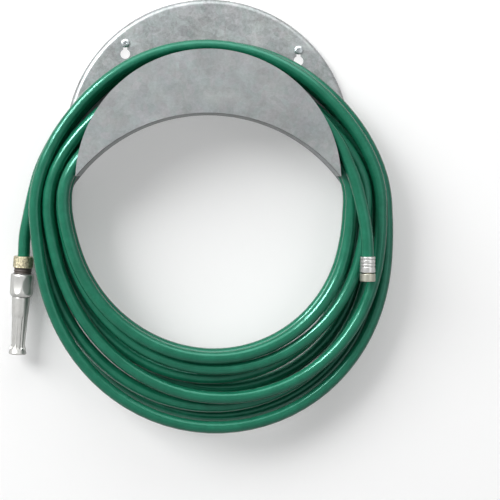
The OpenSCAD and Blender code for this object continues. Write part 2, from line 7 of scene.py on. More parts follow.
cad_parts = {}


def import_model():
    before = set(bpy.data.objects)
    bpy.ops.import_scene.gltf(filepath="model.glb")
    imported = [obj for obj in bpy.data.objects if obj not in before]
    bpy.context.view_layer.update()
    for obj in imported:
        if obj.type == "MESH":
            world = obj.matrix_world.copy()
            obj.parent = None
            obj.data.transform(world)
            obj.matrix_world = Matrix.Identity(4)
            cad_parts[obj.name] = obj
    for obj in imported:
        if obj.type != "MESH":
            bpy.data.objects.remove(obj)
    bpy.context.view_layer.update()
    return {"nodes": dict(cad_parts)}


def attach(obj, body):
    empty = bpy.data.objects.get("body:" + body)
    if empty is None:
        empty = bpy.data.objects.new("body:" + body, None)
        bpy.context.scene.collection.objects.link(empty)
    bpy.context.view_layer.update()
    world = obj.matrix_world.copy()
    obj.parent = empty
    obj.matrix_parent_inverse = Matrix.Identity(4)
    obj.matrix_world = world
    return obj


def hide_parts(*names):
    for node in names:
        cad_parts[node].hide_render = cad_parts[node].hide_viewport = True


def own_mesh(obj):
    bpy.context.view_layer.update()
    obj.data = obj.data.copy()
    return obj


bl_info = {
    "name": "Wall Hose Holder",
    "version": (1, 0, 0),
    "blender": (4, 5, 0),
    "location": "View3D > Sidebar > Hose Holder",
    "description": "Dresses a galvanised wall hose holder with its coiled hose and nozzle",
    "category": "Object",
}

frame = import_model()

MM = 0.001
TURN = 2 * math.pi
TINY = 1e-6

# The holder's construction, in millimetres, with heights above the front plate's centre
HOSE_D = 17.5
HOSE_R = HOSE_D / 2
FRONT_R = 185.0
CRESCENT_H = 89.0
ARCH_R = 237.0
SHEET = 2.0
BACK_FACE_Y = -12.0
BACK_R = 207.5
BACK_RISE = 57.2
ARCH_Z = FRONT_R - CRESCENT_H - ARCH_R
TIP_Z = (ARCH_Z**2 - ARCH_R**2 + FRONT_R**2) / (2 * ARCH_Z)
TIP_X = math.sqrt(FRONT_R**2 - TIP_Z**2)
LAYER_PITCH = HOSE_D + 1.1
LAYER_COUNT = 4
BACK_LAYER_Y = BACK_FACE_Y - 0.65 - HOSE_R
FRONT_LAYER_Y = BACK_LAYER_Y - (LAYER_COUNT - 1) * LAYER_PITCH
FRONT_FACE_Y = FRONT_LAYER_Y - HOSE_R - 2.05 - SHEET

# The screws, and the origin half way between them at the wall
SCREW_RING_R = BACK_R - 20.5
SCREW_ANGLES = (-40.0, 44.6)
SCREWS = [
    (
        SCREW_RING_R * math.sin(math.radians(angle)),
        BACK_RISE + SCREW_RING_R * math.cos(math.radians(angle)),
    )
    for angle in SCREW_ANGLES
]
ORIGIN_X = sum(s[0] for s in SCREWS) / 2
ORIGIN_Z = sum(s[1] for s in SCREWS) / 2

# The coil, as in the construction: turns are counted from the left, clockwise
COIL_Z = -43.3
LAYER_TURNS = 2.5
CLIMB_TURNS = 0.5
COIL_START = 1 / 12
COIL_END = 9 + 1 / 8
SIDE_PILE = LAYER_TURNS * (HOSE_D + 1.1)
PILE_LEFT = SIDE_PILE + 2.5
PILE_RIGHT = SIDE_PILE + 6.0
PILE_TOP = SIDE_PILE + 43.5
PILE_BOTTOM = SIDE_PILE + 57.5
PILE_BULGE = 3.0
PILE_SHOULDER = 6.0
BOTTOM_DROP = 5.5
MIDDLE_SAG = 3.5
STAGGER = 24.5
SWING = 10.0
OUTER_SWING = 4.0
LEFT_TUCK = 6.0
TIP_BLEND = 14.0
OUTER_BLEND = 10.0
SAG_POWER = 1.5
TIP_LIFT = 6.0
TIP_BAND = 0.3
SIDE_R = math.hypot(TIP_X, TIP_Z - COIL_Z) + HOSE_R - 0.95
SEAT_R = ARCH_R + SHEET + HOSE_R + 1.8

# The free ends of the hose
NOZZLE_TILT = math.radians(3.7)
NOZZLE_POINT = Vector((-266.0, BACK_LAYER_Y, -108.0))
NOZZLE_DIR = Vector((-math.sin(NOZZLE_TILT), 0, -math.cos(NOZZLE_TILT)))
NOZZLE_ROUTE = [(-227.5, 49), (-242.5, 17), (-252, -17), (-259, -50), (-264.3, -77)]
TAP_POINT = Vector((222.4, -82.6, -104.6))
TAP_ROUTE = [
    (-87, FRONT_LAYER_Y, 98),
    (-50, FRONT_LAYER_Y, 117),
    (-10, FRONT_LAYER_Y, 131),
    (30, FRONT_LAYER_Y, 138),
    (70, FRONT_LAYER_Y, 136),
    (107, FRONT_LAYER_Y, 124),
    (140, FRONT_LAYER_Y, 104),
    (166, FRONT_LAYER_Y, 78),
    (184, -77.5, 52),
    (196, -78.5, 26),
    (206, -79.7, 0),
    (213, -81, -27),
    (218.5, -82, -54),
    (221.8, -82.6, -80),
]
HOSE_SEAT = 12.0
TAP_SEAT = 20.0
HOSE_HOLE_R = HOSE_R + 0.15
NECK_R = 6.0

# The wall screws, measured from the back plate's face towards the viewer
SCREW_LEN = 50.0
HEAD_R = 6.25
HEAD_H = 3.6
RECESS_W = 1.3
RECESS_DEPTH = 2.0
SCREW_NECK_R = 2.1
THREAD_R = 2.5
THREAD_CORE_R = THREAD_R * 0.7
WALL_Z = BACK_FACE_Y
THREAD_Z = WALL_Z - 1.2
THREAD_RIDGE = 0.22
POINT_LEN = 5.0
POINT_R = 0.3
SCREW_TURN = math.radians(20)
ENTRY_DROP = 15.5

# The photograph's view: where the lens axis meets the front plate, and the shift of its frame
LENS_POINT = (-8.75, FRONT_FACE_Y, 6.4)
LENS_SHIFT = (0.096, -0.146)

# The stage, in metres
WALL_GAP = 0.0012
WALL_SIZE = 8.0
FLOOR_PLACE = (0, -3.0, -1.6)
FLOOR_SIZE = 12.0
LAMP_AIM = (0, -0.04, -0.17)

# The tap end, measured down from the ferrule's upper face
FERRULE_R = 10.8
FERRULE_LEN = 22.2
FERRULE_RINGS = ((0, 3.6), (4.1, 9.1), (9.9, 13.1), (14.2, FERRULE_LEN))
TAP_NUT_R = FERRULE_R + 0.1
TAP_NUT_Z = FERRULE_LEN + 1.4
TAP_NUT_LEN = 11.0
TAP_THREAD_R = 9.5

# The coupling and the nozzle, measured down from the clamp nut's upper face
CLAMP_R = 14.5
CLAMP_LEN = 16.6
KNURL_DEPTH = 0.6
SHOULDER_R = 12.0
GUARD_R = 13.0
GUARD_Z = CLAMP_LEN + 0.3
GUARD_LEN = 8.1
COLLAR_R = 16.75
COLLAR_Z = GUARD_Z + GUARD_LEN + 0.5
COLLAR_LEN = 32.5
COLLAR_BORE_R = GUARD_R + 0.4
LEDGE_Z = COLLAR_Z + 12.7
LEDGE_LEN = 8.2
LEDGE_R = 10.8
RELIEF_R = LEDGE_R + 1.4
FACETS = 8
FIRST_FACET = 0.3
FACET_DEPTH = 1.1
SCOOP_R = 72.0
SLEEVE_Z = COLLAR_Z + COLLAR_LEN + 0.5
MOUTH_Z = SLEEVE_Z + 82.7
SLEEVE_TOP_R = 13.15
SLEEVE_BORE_R = 9.2
SEAL_Z = SLEEVE_Z + 6.7
SEAL_R = 10.65
GRIP_Z = SLEEVE_Z + 29
WAIST_Z = MOUTH_Z - 17
WAIST_R = 9.9
GRIP_R = WAIST_R + 1.45
MOUTH_R = 12.9
THROAT_Z = MOUTH_Z - 23
THROAT_R = 4.4
STEM_END_Z = THROAT_Z - 22
FLUTE_R = 2.0
FLUTE_DEPTH = 0.9
FLUTE_END_Z = MOUTH_Z - 10


def world(point):
    """A point of the holder in millimetres, as a point of the frame in metres."""
    return Vector((point[0] - ORIGIN_X, point[1], point[2] - ORIGIN_Z)) * MM


AT_NOZZLE = Matrix.Translation(world(NOZZLE_POINT)) @ Matrix.Rotation(math.pi + NOZZLE_TILT, 4, "Y")
AT_TAP = Matrix.Translation(world(TAP_POINT)) @ Matrix.Rotation(math.pi, 4, "X")


class HolderFinish(bpy.types.PropertyGroup):
    """Colours of the holder's materials."""

    zinc: bpy.props.FloatVectorProperty(
        name="Zinc", description="Mean colour of the galvanised sheet",
        subtype="COLOR", size=3, min=0, max=1, default=(0.245, 0.252, 0.257),
    )
    hose: bpy.props.FloatVectorProperty(
        name="Hose", description="Colour of the hose",
        subtype="COLOR", size=3, min=0, max=1, default=(0.008, 0.140, 0.075),
    )
    chrome: bpy.props.FloatVectorProperty(
        name="Chrome", description="Colour of the coupling and the nozzle",
        subtype="COLOR", size=3, min=0, max=1, default=(0.45, 0.45, 0.435),
    )
    brass: bpy.props.FloatVectorProperty(
        name="Brass", description="Colour of the knurled nut",
        subtype="COLOR", size=3, min=0, max=1, default=(0.46, 0.42, 0.29),
    )
    wall: bpy.props.FloatVectorProperty(
        name="Wall", description="Colour of the wall and the floor",
        subtype="COLOR", size=3, min=0, max=1, default=(0.74, 0.74, 0.74),
    )


class HolderShapes(bpy.types.PropertyGroup):
    """Sizes of the pieces that are made here."""

    hose_sides: bpy.props.IntProperty(
        name="Hose sides", description="Sides of the hose's section", min=8, max=64, default=28,
    )
    hose_step: bpy.props.FloatProperty(
        name="Hose step", description="Distance between two rings of the hose",
        subtype="DISTANCE", unit="LENGTH", min=0.002, max=0.02, default=0.006,
    )
    knurl_count: bpy.props.IntProperty(
        name="Knurls", description="Ridges round the clamp nut", min=20, max=90, default=30,
    )
    flute_count: bpy.props.IntProperty(
        name="Flutes", description="Flutes round the twist sleeve", min=8, max=14, default=12,
    )
    thread_pitch: bpy.props.FloatProperty(
        name="Thread pitch", description="Pitch of the wall screws' thread",
        subtype="DISTANCE", unit="LENGTH", min=0.001, max=0.003, default=0.0022,
    )


class HolderStudio(bpy.types.PropertyGroup):
    """The camera and the light."""

    camera_distance: bpy.props.FloatProperty(
        name="Camera distance", description="Distance of the camera from the front plate",
        subtype="DISTANCE", unit="LENGTH", min=1, max=4, default=1.78,
    )
    lens: bpy.props.FloatProperty(
        name="Lens", description="Focal length of the camera", subtype="DISTANCE_CAMERA",
        min=35, max=200, default=92.2,
    )
    key_power: bpy.props.FloatProperty(
        name="Key light", description="Power of the key light", subtype="POWER", unit="POWER",
        min=0, max=2000, default=490,
    )
    fill_power: bpy.props.FloatProperty(
        name="Fill light", description="Power of the fill light", subtype="POWER", unit="POWER",
        min=0, max=500, default=10,
    )
    top_power: bpy.props.FloatProperty(
        name="Top light", description="Power of the light above", subtype="POWER", unit="POWER",
        min=0, max=500, default=34,
    )
    sheen_power: bpy.props.FloatProperty(
        name="Sheen", description="Power of the light above that only makes highlights",
        subtype="POWER", unit="POWER", min=0, max=500, default=50,
    )
    strip_power: bpy.props.FloatProperty(
        name="Strip light", description="Power of the strip that only makes highlights",
        subtype="POWER", unit="POWER", min=0, max=500, default=160,
    )
    wall_glow: bpy.props.FloatProperty(
        name="Wall glow", description="How much of the wall's brightness no shadow takes away",
        min=0, max=1, default=0.27,
    )
    floor_glow: bpy.props.FloatProperty(
        name="Floor glow", description="The same for the floor, far below the holder",
        min=0, max=1, default=0.75,
    )
    back_power: bpy.props.FloatProperty(
        name="Back light", description="Lights only the back plate, from behind",
        subtype="POWER", unit="POWER", min=0, max=500, default=90,
    )
    sky: bpy.props.FloatProperty(
        name="Surroundings", description="Strength of the light from all around",
        min=0, max=2, default=0.40,
    )


class Flow:
    """A shader socket that can be used in plain arithmetic."""

    def __init__(self, paint, socket):
        self.paint = paint
        self.socket = socket

    def math(self, operation, first, second=None):
        """Adds a Math node with one or two values."""
        inputs = {0: first} if second is None else {0: first, 1: second}
        return self.paint.node("ShaderNodeMath", {"operation": operation}, inputs)

    def __add__(self, other):
        return self.math("ADD", self, other)

    def __radd__(self, other):
        return self.math("ADD", other, self)

    def __sub__(self, other):
        return self.math("SUBTRACT", self, other)

    def __rsub__(self, other):
        return self.math("SUBTRACT", other, self)

    def __mul__(self, other):
        return self.math("MULTIPLY", self, other)

    def __rmul__(self, other):
        return self.math("MULTIPLY", other, self)

    def __lt__(self, other):
        return self.math("LESS_THAN", self, other)

    def __gt__(self, other):
        return self.math("GREATER_THAN", self, other)


class Paint:
    """A procedural material, or the world, whose nodes are added one by one."""

    def __init__(self, name, owner=None):
        self.material = owner or bpy.data.materials.new(name)
        self.material.use_nodes = True
        self.tree = self.material.node_tree
        self.tree.nodes.clear()

    def node(self, kind, settings=None, inputs=None, out=0):
        """Adds a node: its settings first, then the values or links of its sockets."""
        made = self.tree.nodes.new(kind)
        for key, value in (settings or {}).items():
            if key == "stops":
                self._set_stops(made.color_ramp, value)
            else:
                setattr(made, key, value)
        for key, value in (inputs or {}).items():
            if isinstance(value, Flow):
                self.tree.links.new(value.socket, made.inputs[key])
            else:
                made.inputs[key].default_value = value
        return Flow(self, made.outputs[out]) if len(made.outputs) else None

    @staticmethod
    def _set_stops(ramp, stops):
        """Sets the places of a ramp and their greys."""
        while len(ramp.elements) < len(stops):
            ramp.elements.new(1.0)
        for element, (place, value) in zip(ramp.elements, stops):
            element.position = place
            element.color = (value, value, value, 1)

    def place(self):
        """Where a point of the piece lies in the frame, in metres, at rest."""
        return self.node("ShaderNodeTexCoord", out="Object")

    def uv(self):
        """The texture coordinates of the mesh."""
        return self.node("ShaderNodeTexCoord", out="UV")

    def seen(self):
        """1 for the camera's own rays, and for those that metal and glass send on."""
        eye = self.node("ShaderNodeLightPath", out="Is Camera Ray")
        gloss = self.node("ShaderNodeLightPath", out="Is Glossy Ray")
        glass = self.node("ShaderNodeLightPath", out="Is Transmission Ray")
        return eye.math("MAXIMUM", eye, eye.math("MAXIMUM", gloss, glass))

    def axes(self, vector):
        """The three parts of a vector."""
        made = self.tree.nodes.new("ShaderNodeSeparateXYZ")
        self.tree.links.new(vector.socket, made.inputs[0])
        return [Flow(self, output) for output in made.outputs]

    def stretched(self, vector, scale):
        """A vector multiplied by another, part by part."""
        return self.node(
            "ShaderNodeVectorMath", {"operation": "MULTIPLY"}, {0: vector, 1: scale}
        )

    def noise(self, vector, scale, detail=3.0, roughness=0.55, distortion=0.0):
        """Noise at a place, finer with a larger scale."""
        return self.node(
            "ShaderNodeTexNoise", None,
            {"Vector": vector, "Scale": scale, "Detail": detail,
             "Roughness": roughness, "Distortion": distortion},
        )

    def ramp(self, value, *stops):
        """A value put through pairs of place and brightness."""
        return self.node("ShaderNodeValToRGB", {"stops": stops}, {0: value})

    def mix(self, factor, first, second):
        """The first colour at 0 and the second at 1. A Mix node's colours are sockets 6 and 7."""
        return self.node(
            "ShaderNodeMix", {"data_type": "RGBA"}, {0: factor, 6: first, 7: second}, out=2
        )

    def multiplied(self, first, second):
        """One colour tinted by another."""
        return self.node(
            "ShaderNodeMix", {"data_type": "RGBA", "blend_type": "MULTIPLY"},
            {0: 1.0, 6: first, 7: second}, out=2,
        )

    def bump(self, height, strength, distance):
        """A normal that follows a height, of which 1 is as deep as the distance."""
        return self.node(
            "ShaderNodeBump", None,
            {"Height": height, "Strength": strength, "Distance": distance},
        )

    def finish(self, **inputs):
        """Ends the material with a Principled shader, whose sockets take these values."""
        named = {}
        for key, value in inputs.items():
            named[key.replace("_", " ").title().replace("Ior", "IOR")] = value
        shader = self.node("ShaderNodeBsdfPrincipled", None, named)
        self.node("ShaderNodeOutputMaterial", None, {0: shader})
        return self.material


def rgba(colour, factor=1.0):
    """A colour made lighter or darker, with full alpha."""
    return tuple(min(1.0, c * factor) for c in colour[:3]) + (1.0,)


def galvanised(colour):
    """Zinc-dipped sheet: faint clouds, fine spangle, slight tints and small scratches."""
    p = Paint("galvanised sheet")
    place = p.place()
    drift = p.node("ShaderNodeTexNoise", None, {"Vector": place, "Scale": 34.0}, out="Color")
    shift = p.stretched(drift, (0.012, 0.012, 0.012))
    warped = p.node("ShaderNodeVectorMath", {"operation": "ADD"}, {0: place, 1: shift})
    cells = p.axes(
        p.node("ShaderNodeTexVoronoi", None, {"Vector": warped, "Scale": 110.0}, out="Color")
    )
    clouds = p.noise(place, 22.0, 5.0, 0.62, 0.5)
    broad = p.noise(place, 6.0, 2.0, 0.5)
    spangle = p.noise(warped, 240.0, 4.0, 0.75)
    brushed = p.noise(p.stretched(place, (260.0, 1.0, 900.0)), 1.0, 3.0, 0.7)
    # The back plate is rougher than the front plate
    depth = (p.axes(place)[1] - FRONT_FACE_Y * MM) * 10.0
    rough = p.ramp(depth, (0.2, 0.0), (0.7, 1.0))
    fine = (spangle - 0.5) * 0.8 + (cells[0] - 0.5) * 0.16 + (brushed - 0.5) * 0.26
    tone = 0.5 + (clouds - 0.5) * (0.55 + rough * 0.55) + (broad - 0.5) * 0.7
    tone = tone + fine * (0.95 + rough * 1.05)
    grey = p.mix(tone, rgba(colour, 0.66), rgba(colour, 1.34))
    tint = p.mix(cells[1], (0.94, 1.0, 0.99, 1), (1.0, 0.98, 1.0, 1))
    patches = p.ramp(drift, (0.3, 0.0), (0.7, 1.0))
    drifting = p.mix(patches, (1.0, 1.0, 0.965, 1), (0.975, 1.0, 1.0, 1))
    tinted = p.multiplied(p.multiplied(grey, tint), drifting)
    scratches = p.noise(p.stretched(place, (40.0, 1.0, 900.0)), 1.0, 2.0, 0.6)
    scratch = p.ramp(scratches, (0.66, 0.0), (0.70, 1.0)) * 0.16
    bare = p.mix(scratch, tinted, rgba(colour, 1.6))
    # Painted shade: faces turned downwards, such as the saddle's underside, are darkened near the
    # front plate and near the back plate
    under = p.axes(p.node("ShaderNodeNewGeometry", out="Normal"))[2] < -0.1
    underside_edge_shade = p.ramp(
        depth, (0.0, 0.8), (0.14, 0.7), (0.30, 0.0), (0.62, 0.0), (0.72, 0.45)
    )
    # The downward faces take the painted shade here
    base = p.mix(under * underside_edge_shade, bare, rgba(colour, 0.16))
    roughness = 0.34 + clouds * 0.12 + cells[2] * 0.05
    height = clouds * 0.3 + spangle * 0.3 + brushed * 0.2
    return p.finish(
        base_color=base, metallic=0.6, roughness=roughness, normal=p.bump(height, 0.2, 0.0004)
    )


def hose_skin(colour):
    """Green hose: drawn lines along its length, a slight haze and a wet-looking gloss."""
    p = Paint("green hose")
    place = p.place()
    along, around, _ = p.axes(p.uv())
    turn = around * TURN
    ring = p.node(
        "ShaderNodeCombineXYZ", None,
        {0: along.math("COSINE", turn) * 2.4, 1: along.math("SINE", turn) * 2.4, 2: along * 0.9},
    )
    lines = p.noise(ring, 1.6, 3.0, 0.7)
    haze = p.noise(place, 42.0, 3.0, 0.6)
    marks = p.noise(place, 230.0, 3.0, 0.7)
    worn = p.ramp(haze * 0.5 + marks * 0.2 + lines * 0.3, (0.42, 0.0), (0.66, 1.0))
    pale = (colour[0] * 1.7, colour[1] * 1.16, colour[2] * 1.22)
    base = p.mix(worn, rgba(colour, 0.84), rgba(pale))
    height = lines * 1.0 + marks * 0.12
    return p.finish(
        base_color=base, roughness=0.15 + worn * 0.07 + marks * 0.05,
        normal=p.bump(height, 0.5, 0.0006),
        specular_ior_level=0.5, specular_tint=(0.44, 1.0, 0.84, 1),
    )


def bright_metal(name, colour, roughness, metallic=0.8, dirt=0.0):
    """Plated or turned metal: fine turning marks, smudges, and dirt in its hollows."""
    p = Paint(name)
    place = p.place()
    turning = p.noise(p.stretched(place, (60.0, 60.0, 1500.0)), 1.0, 2.0, 0.5)
    smudge = p.noise(place, 90.0, 3.0, 0.6, 0.4)
    speck = p.noise(place, 700.0, 2.0, 0.6)
    dull = p.ramp(smudge * 0.7 + speck * 0.3, (0.38, 0.0), (0.68, 1.0))
    clean = p.mix(dull, rgba(colour, 1.06), rgba(colour, 0.90))
    spots = p.ramp(p.noise(place, 380.0, 2.0, 0.6), (0.40, 1.0), (0.58, 0.0))
    base = p.mix(spots * dirt, clean, rgba(colour, 0.25))
    return p.finish(
        base_color=base, metallic=metallic, roughness=roughness + dull * 0.10 + turning * 0.04,
        normal=p.bump(turning * 0.5 + speck * 0.3, 0.05, 0.0001),
    )


def rubber(name, colour):
    """Matt rubber with a fine moulded grain and a little dust."""
    p = Paint(name)
    place = p.place()
    grain = p.noise(place, 1400.0, 2.0, 0.6)
    dust = p.ramp(p.noise(place, 120.0, 4.0, 0.65), (0.45, 0.0), (0.75, 1.0))
    dusty = [c * 1.8 + more for c, more in zip(colour, (0.02, 0.018, 0.016))]
    base = p.mix(dust * 0.5, rgba(colour), rgba(dusty))
    return p.finish(
        base_color=base, roughness=0.55 + grain * 0.15, normal=p.bump(grain, 0.2, 0.0002)
    )


_materials = {}


def material(slot):
    """The material of a record's slot, made once."""
    if slot not in _materials:
        finish = bpy.context.scene.holder_finish
        makers = {
            "zinc_steel": lambda: galvanised(finish.zinc),
            "hose_green": lambda: hose_skin(finish.hose),
            "screw_zinc": lambda: bright_metal("zinc-plated screw", (0.34, 0.37, 0.38), 0.24),
            "bright_nickel": lambda: bright_metal("bright nickel", (0.45, 0.45, 0.44), 0.24),
            "olive_nickel": lambda: bright_metal("worn nickel", (0.34, 0.34, 0.285), 0.30),
            "raw_brass": lambda: bright_metal("raw brass", finish.brass, 0.40, dirt=0.75),
            "satin_chrome": lambda: bright_metal("satin chrome", finish.chrome, 0.33),
            "black_rubber": lambda: rubber("black rubber", (0.046, 0.035, 0.029)),
            "ball_steel": lambda: bright_metal("bright steel", (0.55, 0.56, 0.57), 0.18, 1.0),
        }
        _materials[slot] = makers[slot]()
    return _materials[slot]


def dress(node, slot):
    """Gives a CAD node its material."""
    piece = frame["nodes"][node]
    piece.data.materials.clear()
    piece.data.materials.append(material(slot))


def add_piece(name, mesh, slot, body, *nodes):
    """Puts a finished mesh on a body, in place of CAD nodes."""
    piece = bpy.data.objects.new(name, mesh)
    bpy.context.collection.objects.link(piece)
    mesh.materials.append(material(slot))
    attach(piece, body)
    if nodes:
        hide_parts(*nodes)
    return piece


def rounded(profile, radius, steps=3):
    """A closed outline with its corners rounded, as far as its edges allow."""
    out = []
    count = len(profile)
    for i, corner in enumerate(profile):
        here = Vector(corner)
        before = Vector(profile[i - 1]) - here
        after = Vector(profile[(i + 1) % count]) - here
        on_axis = here.x < TINY
        if on_axis or before.length < TINY or after.length < TINY:
            out.append(tuple(here))
            continue
        reach = min(radius, before.length * 0.45, after.length * 0.45)
        first = here + before.normalized() * reach
        last = here + after.normalized() * reach
        for k in range(steps + 1):
            t = k / steps
            out.append(tuple(first * (1 - t) ** 2 + here * 2 * t * (1 - t) + last * t**2))
    return out


def divided(profile, step):
    """A closed outline with its long edges divided."""
    out = []
    for i, corner in enumerate(profile):
        here, after = Vector(corner), Vector(profile[(i + 1) % len(profile)])
        on_axis = max(here.x, after.x) < TINY
        parts = 1 if on_axis else max(1, math.ceil((after - here).length / step))
        out.extend(tuple(here.lerp(after, k / parts)) for k in range(parts))
    return out


def turned(name, profile, place, segments=96, shape=None, crisp=40.0):
    """A lathe-turned mesh. shape(angle, r, z) may move each point of the outline."""
    mesh = bpy.data.meshes.new(name)
    build = bmesh.new()
    rings = []
    for s in range(segments):
        angle = TURN * s / segments
        ring = []
        for r, z in profile:
            if shape and r > TINY:
                r = shape(angle, r, z)
            point = Vector((r * math.cos(angle), r * math.sin(angle), z)) * MM
            ring.append(build.verts.new(place @ point))
        rings.append(ring)
    count = len(profile)
    for s in range(segments):
        a, b = rings[s], rings[(s + 1) % segments]
        for i in range(count):
            j = (i + 1) % count
            if max(profile[i][0], profile[j][0]) > TINY:
                build.faces.new((a[i], b[i], b[j], a[j]))
    bmesh.ops.remove_doubles(build, verts=build.verts, dist=1e-7)
    bmesh.ops.dissolve_degenerate(build, dist=1e-8, edges=build.edges)
    bmesh.ops.recalc_face_normals(build, faces=build.faces)
    build.to_mesh(mesh)
    build.free()
    smooth(mesh, crisp)
    return mesh


def carved(mesh, cutter):
    """A mesh with the space of another mesh cut out of it."""
    host = bpy.data.objects.new("host", mesh)
    tool = bpy.data.objects.new("tool", cutter)
    for piece in (host, tool):
        bpy.context.collection.objects.link(piece)
    cut = host.modifiers.new("cut", "BOOLEAN")
    cut.operation = "DIFFERENCE"
    cut.object = tool
    cut.use_self = True
    graph = bpy.context.evaluated_depsgraph_get()
    result = bpy.data.meshes.new_from_object(host.evaluated_get(graph))
    result.name = mesh.name
    for piece in (host, tool):
        bpy.data.objects.remove(piece)
    smooth(result, 30.0)
    return result


def cross_recess(place):
    """The space of a cross recess in a screw's head, narrower at its bottom."""
    mesh = bpy.data.meshes.new("recess")
    build = bmesh.new()
    for quarter in (0, math.pi / 2):
        turn = place @ Matrix.Rotation(quarter, 4, "Z")
        half_len, half_w = HEAD_R * 0.5, RECESS_W / 2
        low = HEAD_H - RECESS_DEPTH
        corners = [
            turn @ (Vector((x * half_len * k, y * half_w * k, z)) * MM)
            for z, k in ((low, 0.62), (HEAD_H + 0.5, 1.08))
            for x, y in ((-1, -1), (1, -1), (1, 1), (-1, 1))
        ]
        made = [build.verts.new(corner) for corner in corners]
        sides = [(i, (i + 1) % 4, (i + 1) % 4 + 4, i + 4) for i in range(4)]
        for face in [(3, 2, 1, 0), (4, 5, 6, 7)] + sides:
            build.faces.new([made[i] for i in face])
    bmesh.ops.recalc_face_normals(build, faces=build.faces)
    build.to_mesh(mesh)
    build.free()
    return mesh


def smooth(mesh, angle=48.0):
    """Shades a mesh smooth, except at edges sharper than the angle."""
    mesh.shade_smooth()
    mesh.set_sharp_from_angle(angle=math.radians(angle))


def ease(value):
    """A soft step from 0 to 1."""
    return (1 - math.cos(math.pi * min(max(value, 0), 1))) / 2


def smooth_min(a, b, k):
    """The smaller value, blended where the two are closer than k."""
    return min(a, b) - max(k - abs(a - b), 0) ** 2 / (4 * k)


def pile(angle):
    """Thickness of the pile of turns round the coil."""
    return (
        (PILE_RIGHT + PILE_TOP + PILE_LEFT + PILE_BOTTOM) / 4
        + (PILE_RIGHT - PILE_LEFT) / 2 * math.cos(angle)
        + (PILE_TOP - PILE_BOTTOM) / 2 * math.sin(angle)
        + (PILE_RIGHT + PILE_LEFT - PILE_TOP - PILE_BOTTOM) / 4 * math.cos(2 * angle)
        - PILE_BULGE * math.sin(3 * angle)
        + (PILE_SHOULDER * math.sin(2 * angle) ** 2 if math.sin(angle) > 0 else 0)
    )


def inner_line(angle, spread):
    """Distance of the innermost turn from the coil's centre."""
    rise = math.sin(angle)
    side = SIDE_R + TIP_LIFT * ease((rise + TIP_BAND) / (2 * TIP_BAND))
    if rise < -TIP_BAND:
        return side
    drop = COIL_Z - ARCH_Z
    seat = -drop * rise + math.sqrt(SEAT_R**2 - (drop * math.cos(angle)) ** 2)
    return smooth_min(seat, side, TIP_BLEND + OUTER_BLEND * spread)


def coil_point(t):
    """A point of the coiled hose's middle line, t turns from the left."""
    angle = math.pi - TURN * t
    cycle = LAYER_TURNS + CLIMB_TURNS
    index = math.floor(t / cycle)
    rest = t - index * cycle
    climb = ease((rest - LAYER_TURNS) / CLIMB_TURNS) if rest >= LAYER_TURNS else 0
    layer = index + climb
    spread = min(rest / LAYER_TURNS, 1)
    if index % 2 == 0:
        spread = 1 - spread
    sag = BOTTOM_DROP + (STAGGER * (1 - layer) + MIDDLE_SAG) * math.sin(math.pi * spread) ** 2
    low = max(0, -math.sin(angle))
    aside = low * math.cos(angle) * (SWING + OUTER_SWING * spread)
    leftness = max(0, -math.cos(angle)) ** 2
    tuck = math.cos(math.pi / 2 * (layer - 2)) ** 2 if abs(layer - 2) < 1 else 0
    r = inner_line(angle, spread) + spread * pile(angle) + low**SAG_POWER * sag + aside
    r -= leftness * tuck * LEFT_TUCK
    y = BACK_LAYER_Y - layer * LAYER_PITCH
    return Vector((r * math.cos(angle), y, COIL_Z + r * math.sin(angle)))


def through(points, first, last, parts=10):
    """A smooth curve through points, with its directions at both ends given."""
    count = len(points)
    dirs = [first]
    dirs += [(points[i + 1] - points[i - 1]).normalized() for i in range(1, count - 1)]
    dirs.append(last)
    out = []
    for i in range(count - 1):
        a, b = points[i], points[i + 1]
        reach = (b - a).length
        for k in range(parts):
            t = k / parts
            out.append(
                a * (2 * t**3 - 3 * t**2 + 1)
                + dirs[i] * reach * (t**3 - 2 * t**2 + t)
                + b * (3 * t**2 - 2 * t**3)
                + dirs[i + 1] * reach * (t**3 - t**2)
            )
    return out + [points[-1]]


def hose_route():
    """The whole hose's middle line, from the nozzle's coupling to the tap's ferrule."""
    start, end = coil_point(COIL_START), coil_point(COIL_END)
    near = 0.002
    start_dir = (coil_point(COIL_START + near) - start).normalized()
    end_dir = (end - coil_point(COIL_END - near)).normalized()
    head = [NOZZLE_POINT + NOZZLE_DIR * HOSE_SEAT, NOZZLE_POINT]
    head += [Vector((x, BACK_LAYER_Y, z)) for x, z in reversed(NOZZLE_ROUTE)]
    head.append(start)
    tail = [end] + [Vector(p) for p in TAP_ROUTE]
    tail += [TAP_POINT, TAP_POINT - Vector((0, 0, TAP_SEAT))]
    steps_per_turn = 96
    turns = COIL_END - COIL_START
    count = round(turns * steps_per_turn)
    coil = [coil_point(COIL_START + turns * i / count) for i in range(1, count)]
    first = through(head, -NOZZLE_DIR, start_dir)
    return first + coil + through(tail, end_dir, Vector((0, 0, -1)))


def evenly(points, step):
    """The same line with its points evenly spaced."""
    lengths = [0.0]
    for a, b in zip(points, points[1:]):
        lengths.append(lengths[-1] + (b - a).length)
    count = round(lengths[-1] / step)
    out, i = [], 0
    for k in range(count + 1):
        want = lengths[-1] * k / count
        while i < len(points) - 2 and lengths[i + 1] < want:
            i += 1
        span = lengths[i + 1] - lengths[i]
        share = (want - lengths[i]) / span if span else 0
        out.append(points[i].lerp(points[i + 1], share))
    return out, lengths[-1]


